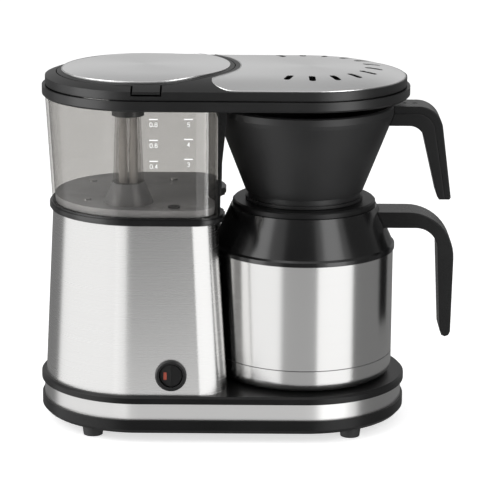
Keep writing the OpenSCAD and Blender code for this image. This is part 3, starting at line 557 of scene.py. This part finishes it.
def rolled_rim(name, node, path, body):
    """A thin bead round a closed (x, y) path on a node's top, kept below the object's own top."""
    face = surface(node)
    line = [face.ray_cast(Vector((x, y, ABOVE)), Vector((0, 0, -1)))[0] for x, y in path]
    for here in line:
        here.z = min(here.z, cad_box[1][2] - BEAD_R)
    bm = bmesh.new()
    rings = []
    angles = [math.radians(360 / BEAD_SIDES * i) for i in range(BEAD_SIDES)]
    for k, here in enumerate(line):
        along = (line[(k + 1) % len(line)] - line[k - 1]).normalized()
        out = along.cross(Vector((0, 0, 1))).normalized()
        up = out.cross(along)
        rings.append([bm.verts.new(here + BEAD_R * (math.cos(a) * out + math.sin(a) * up))
                      for a in angles])
    closed_tube(bm, rings, smooth=True)
    return piece(name, bm, "rim_steel", body)


def disc_path(cx, r, count):
    turns = [2 * math.pi * k / count for k in range(count)]
    return [(cx + r * math.cos(a), r * math.sin(a)) for a in turns]


def in_plate(x, y, inset):
    """Whether a point is on the brew plate, drawn in by inset."""
    r, y = PLATE_R - inset, abs(y)
    if math.hypot(x - LID_X, y) < LID_GAP + inset or y > r:
        return False
    if x > PLATE_X:
        return math.hypot(x - PLATE_X, y) < r
    if x < HORN_X and y > PLATE_R - HORN_R:
        return math.hypot(x - HORN_X, y - PLATE_R + HORN_R) < HORN_R - inset
    return x > HORN_X - HORN_R + inset


def plate_path(inset, count):
    """The plate's outline, found along rays from a point inside it by halving."""
    middle, near, far, halvings = 0.03, 0.01, 0.12, 24
    path = []
    for k in range(count):
        c, s = math.cos(2 * math.pi * k / count), math.sin(2 * math.pi * k / count)
        lo, hi = near, far
        for _ in range(halvings):
            mid = (lo + hi) / 2
            lo, hi = (mid, hi) if in_plate(middle + mid * c, mid * s, inset) else (lo, mid)
        path.append((middle + lo * c, lo * s))
    return path


scale_marks()
rocker_mark()
groove_shade_ring()
rolled_rim("disc_rim", "lid_disc", disc_path(LID_X, LID_R - BEAD_INSET, count=120), "lid")
rolled_rim("plate_rim", "brew_plate", plate_path(BEAD_INSET, count=240), "machine")


# ---------------------------------------------------------------- studio

# Directions are in degrees about the vertical: 0 is -Y, and 90 is +X.
LEFT_WALL = (-116, -29)
WALL_SOFT = 3
LEFT_LEVEL, REAR_LEVEL, TOP_LEVEL, ROOM_LEVEL = 0.98, 0.34, 0.35, 0.23
# Where each light fades in, as a component of the unit vector in its direction
REAR_Y, REAR_Z, TOP_Z = (0.2, 0.6), (-0.03, 0.10), (0.6, 0.9)
FLOOR_Z, FLOOR_HALF, FLOOR_GLOW = -0.0002, 6.0, 0.63


def world_light():
    """A dim room with a bright wall to the left, and softer light behind and overhead.

    The camera itself sees an even light grey where the floor ends.
    """
    world = bpy.data.worlds.new("studio")
    world.use_nodes = True
    scene.world = world
    g = Graph(world.node_tree)
    coords = g.add("ShaderNodeTexCoord")
    split = g.add("ShaderNodeSeparateXYZ")
    g.link(coords.outputs["Generated"], split.inputs[0])
    x, y, z = split.outputs
    turn = g.math("MULTIPLY", g.math("ARCTAN2", x, g.math("MULTIPLY", y, -1.0)), 180 / math.pi)
    lo, hi = LEFT_WALL
    rise = g.span(turn, lo - WALL_SOFT, lo + WALL_SOFT, smooth=True)
    fall = g.span(turn, hi - WALL_SOFT, hi + WALL_SOFT, 1.0, 0.0, smooth=True)
    left = g.math("MULTIPLY", g.math("MULTIPLY", rise, fall), LEFT_LEVEL)
    rear = g.math("MULTIPLY", g.span(y, *REAR_Y, smooth=True), REAR_LEVEL)
    rear = g.math("MULTIPLY", rear, g.span(z, *REAR_Z, smooth=True))
    top = g.math("MULTIPLY", g.span(z, *TOP_Z, smooth=True), TOP_LEVEL)
    total = g.math("ADD", left, g.math("MAXIMUM", rear, top))
    total = g.math("ADD", total, ROOM_LEVEL)
    light = g.add("ShaderNodeBackground")
    g.link(total, light.inputs["Strength"])
    plain = g.add("ShaderNodeBackground")
    plain.inputs["Strength"].default_value = 1.0
    rays = g.add("ShaderNodeLightPath")
    both = g.add("ShaderNodeMixShader")
    g.link(rays.outputs["Is Camera Ray"], both.inputs[0])
    g.link(light.outputs[0], both.inputs[1])
    g.link(plain.outputs[0], both.inputs[2])
    out = g.add("ShaderNodeOutputWorld")
    g.link(both.outputs[0], out.inputs["Surface"])


def floor():
    """A white floor that reflections don't show and that casts no shadow."""
    bm = bmesh.new()
    bmesh.ops.create_grid(bm, x_segments=1, y_segments=1, size=FLOOR_HALF)
    mesh = bpy.data.meshes.new("floor")
    bm.to_mesh(mesh)
    bm.free()
    made = bpy.data.objects.new("floor", mesh)
    made.location.z = FLOOR_Z
    scene.collection.objects.link(made)
    white, g = new_material("floor")
    output(g, principled(
        g, Base_Color=rgba(0.80), Roughness=0.9, Specular_IOR_Level=0.0,
        Emission_Color=rgba(1.0), Emission_Strength=FLOOR_GLOW,
    ))
    mesh.materials.append(white)
    made.visible_glossy = False
    made.visible_shadow = False


def softbox(name, centre, aim, wide, high, radiance, skip=(), only=()):
    """A rectangular lamp of even radiance. It lights everything, all but skip, or just only."""
    lamp = bpy.data.lights.new(name, "AREA")
    lamp.shape = "RECTANGLE"
    lamp.size, lamp.size_y = wide, high
    lamp.energy = radiance * math.pi * wide * high
    made = bpy.data.objects.new(name, lamp)
    made.location = centre
    made.rotation_mode = "QUATERNION"
    made.rotation_quaternion = (Vector(aim) - Vector(centre)).to_track_quat("-Z", "Y")
    scene.collection.objects.link(made)
    made.visible_camera = False
    if skip or only:
        group = bpy.data.collections.new(name + "_links")
        for node in skip or only:
            group.objects.link(NODES[node])
        made.light_linking.receiver_collection = group
        for entry in group.collection_objects:
            entry.light_linking.link_state = "EXCLUDE" if skip else "INCLUDE"


def side_panel(name, eye, turns, heights, radiance, far=0.6, **links):
    """An upright softbox that fills the directions turns, as seen from eye, between heights."""
    ends = [Vector((eye[0] + far * math.sin(math.radians(t)),
                    eye[1] - far * math.cos(math.radians(t)), 0)) for t in turns]
    mid, z = (ends[0] + ends[1]) / 2, (heights[0] + heights[1]) / 2
    softbox(name, (mid.x, mid.y, z), (eye[0], eye[1], z), (ends[1] - ends[0]).length,
            heights[1] - heights[0], radiance, **links)


STEEL = ["tower_shell", "base_band", "carafe_body", "carafe_base_cap", "lid_disc", "brew_plate"]
CLEAR = ["reservoir_tank", "riser_tube"]
TOWER, CARAFE = (-0.045, -0.07), (0.05, -0.07)


def softboxes():
    side_panel("right_softbox", CARAFE, (18, 68), (-0.4, 0.8), 0.92, skip=["tower_shell"])
    side_panel("right_tower", TOWER, (5, 80), (-0.4, 0.5), 0.95, only=["tower_shell"])
    side_panel("front_low_tower", TOWER, (-24, 60), (-0.56, 0.055), 0.56, only=["base_band"])
    side_panel("front_tower", TOWER, (-20, 4.5), (-0.56, -0.02), 0.60, only=["tower_shell"])
    side_panel("left_tower", TOWER, (-34, -20), (-0.5, 0.7), 0.75,
               only=["tower_shell", "base_band"])
    side_panel("front_low_carafe", CARAFE, (-32, 18), (-0.5, 0.12), 0.22,
               only=["carafe_body", "carafe_base_cap"])
    side_panel("left_hot", (-0.05, -0.07), (-88, -48), (-0.1, 0.9), 2.3, far=0.7,
               skip=STEEL + CLEAR)
    side_panel("right_hot", (0.06, -0.07), (28, 56), (-0.1, 0.9), 2.4, far=0.7,
               skip=STEEL + CLEAR)
    side_panel("tank_line", (-0.03, -0.06), (71, 83), (-0.25, 0.16), 7.0, only=["reservoir_tank"])
    softbox("rear_tops", centre=(-0.02, 1.6, 0.68), aim=(-0.02, 0.0, 0.27), wide=3.2, high=1.1,
            radiance=0.34, only=["lid_disc", "brew_plate"])
    softbox("top_softbox", centre=(0.0, -0.1, 1.5), aim=(0.0, 0.0, 0.1), wide=1.6, high=1.2,
            radiance=0.5)


world_light()
floor()
softboxes()
